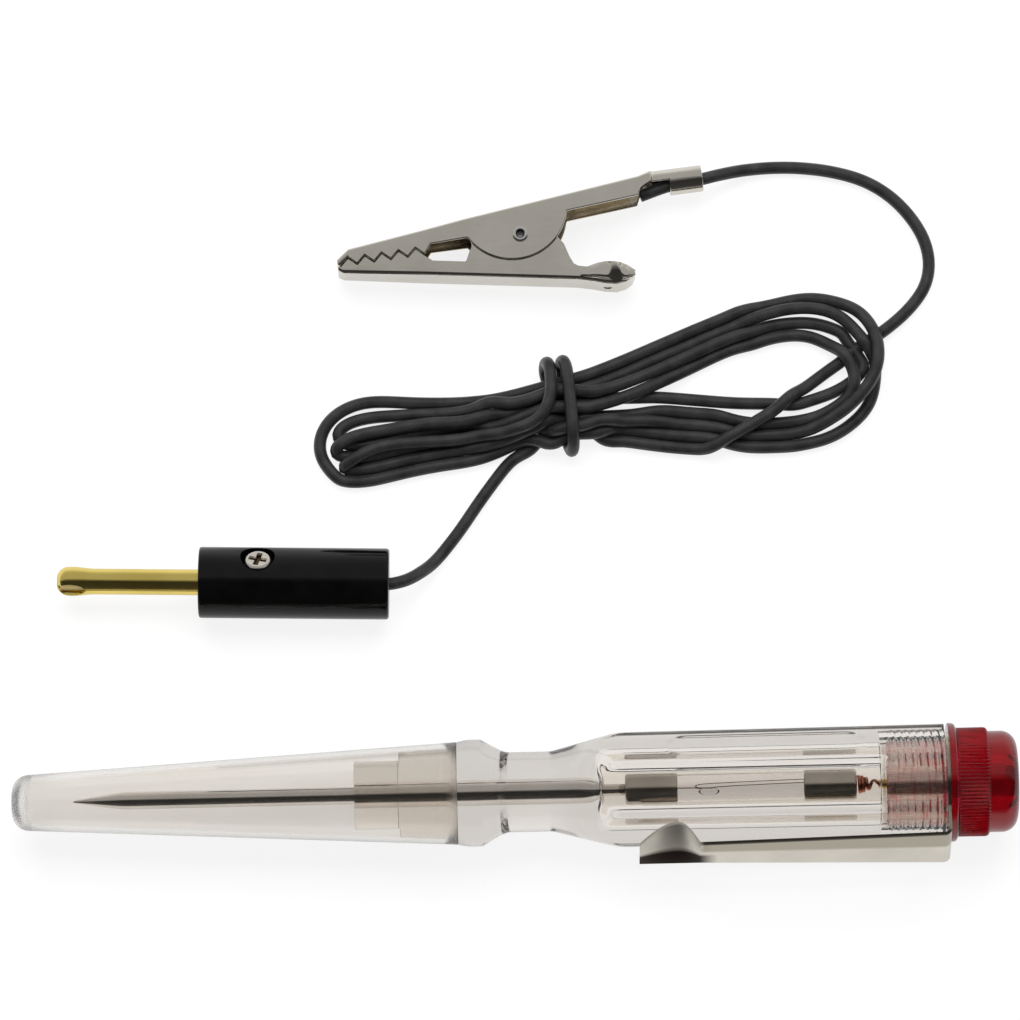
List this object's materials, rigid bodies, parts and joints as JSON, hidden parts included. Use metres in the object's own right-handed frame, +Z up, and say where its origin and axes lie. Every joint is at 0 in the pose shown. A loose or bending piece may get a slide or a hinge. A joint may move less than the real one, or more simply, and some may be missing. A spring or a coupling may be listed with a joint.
{
  "type": "circuit tester",
  "caption": "Clear pen-shaped lamp tester with steel probe, pull-off cover, red screw cap with lead socket, pocket clip, and a plug-in lead with banana plug and crocodile clip.",
  "frame": {"origin": "centre of the pen's own box in plan, on the bench it lies on", "axes": "+X along the pen from the covered probe tip to the red cap, +Z up, +Y towards the lead"},
  "size_m": [0.1382, 0.1014, 0.0164],
  "materials": {
    "clear_barrel": "clear moulded plastic",
    "steel_probe": "plain drawn steel",
    "clear_cover": "clear, slightly milky plastic",
    "clip_steel": "bright nickel-plated sheet steel",
    "red_cap": "see-through red plastic",
    "brass_socket": "bright brass",
    "contact_spring": "coppered spring wire",
    "lamp_glass": "clear glass",
    "lamp_ferrule": "tinned metal",
    "filament": "fine wire with a glass bead",
    "black_sleeve": "glossy black plastic",
    "plug_body": "nickel-plated metal",
    "brass_pin": "bright rolled brass",
    "screw_steel": "bright zinc-plated steel",
    "black_wire": "satin black PVC",
    "jaw_steel": "bright nickel-plated sheet steel",
    "rivet_steel": "bright plated steel",
    "spring_steel": "spring steel wire"
  },
  "bodies": {
    "tester": {"barrel": "clear_barrel", "probe": "steel_probe", "pocket_clip": "clip_steel", "lamp_glass": "lamp_glass", "lamp_ferrule_front": "lamp_ferrule", "lamp_ferrule_rear": "lamp_ferrule", "lamp_filament": "filament", "plug_sleeve": "black_sleeve", "plug_core": "plug_body", "plug_pin": "brass_pin", "plug_screw": "screw_steel", "lead_tail_plug": "black_wire", "lead_hank": "black_wire", "lead_tail_clip": "black_wire", "clip_upper_jaw": "jaw_steel", "clip_rivet": "rivet_steel", "clip_spring": "spring_steel"},
    "cover": {"probe_cover": "clear_cover"},
    "cap_carrier": {"contact_spring": "contact_spring"},
    "cap": {"end_cap": "red_cap", "socket_contact": "brass_socket"},
    "lower_jaw": {"clip_lower_jaw": "jaw_steel"}
  },
  "joints": [
    {"name": "cover_pull", "type": "slide", "parent": "tester", "child": "cover", "axis": [-1, 0, 0], "range_m": [0, 0.08]},
    {"name": "cap_travel", "type": "slide", "parent": "tester", "child": "cap_carrier", "axis": [1, 0, 0], "range_m": [0, 0.01]},
    {"name": "cap_turn", "type": "hinge", "parent": "cap_carrier", "child": "cap", "pos_m": [0.0591, 0.00145, 0.0082], "axis": [1, 0, 0], "range_deg": [0, 3600]},
    {"name": "jaw_hinge", "type": "hinge", "parent": "tester", "child": "lower_jaw", "pos_m": [0.0026, 0.0806, 0.0037], "axis": [0, 0, 1], "range_deg": [0, 28], "stiffness_Nm_per_rad": 0.12, "springref_deg": -34.38, "deforming": ["clip_spring"]}
  ],
  "couplings": [
    {"joint": "cap_turn", "follows": "cap_travel", "rad_per_m": 6283.2}
  ]
}
